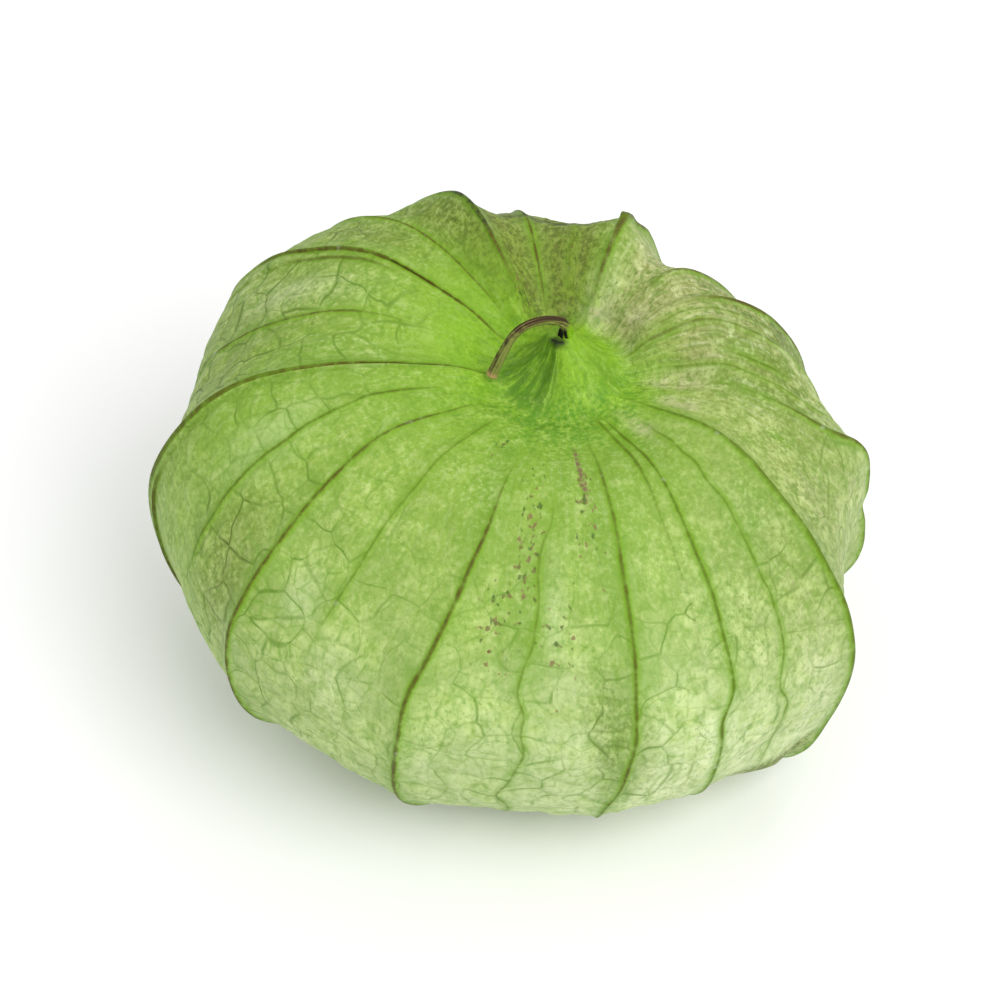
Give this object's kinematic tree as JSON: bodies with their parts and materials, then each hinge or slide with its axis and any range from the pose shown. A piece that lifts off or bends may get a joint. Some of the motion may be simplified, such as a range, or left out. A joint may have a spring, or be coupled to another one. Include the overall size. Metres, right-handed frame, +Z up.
{
  "type": "tomatillo in its husk",
  "caption": "Green tomatillo still in its closed papery husk, a ribbed, veined lantern with a short bent stem on top, resting flat on its underside.",
  "frame": {"origin": "on the surface the tomatillo rests on, under the middle of its bounding box", "axes": "+Z up along the husk's own axis, from its underside to the stem; +X along its longer side, away from the side that the stem's cut end leans to"},
  "size_m": [0.0604, 0.053, 0.0422],
  "materials": {
    "husk": "thin dry papery leaf, fresh green, paler low down, with raised dark ribs and a net of fine green veins",
    "stem": "matt ridged plant stalk, brown and purple above and grey-green below, with a pale cut end"
  },
  "bodies": {
    "root": {"husk": "husk", "stem": "stem"}
  },
  "joints": []
}
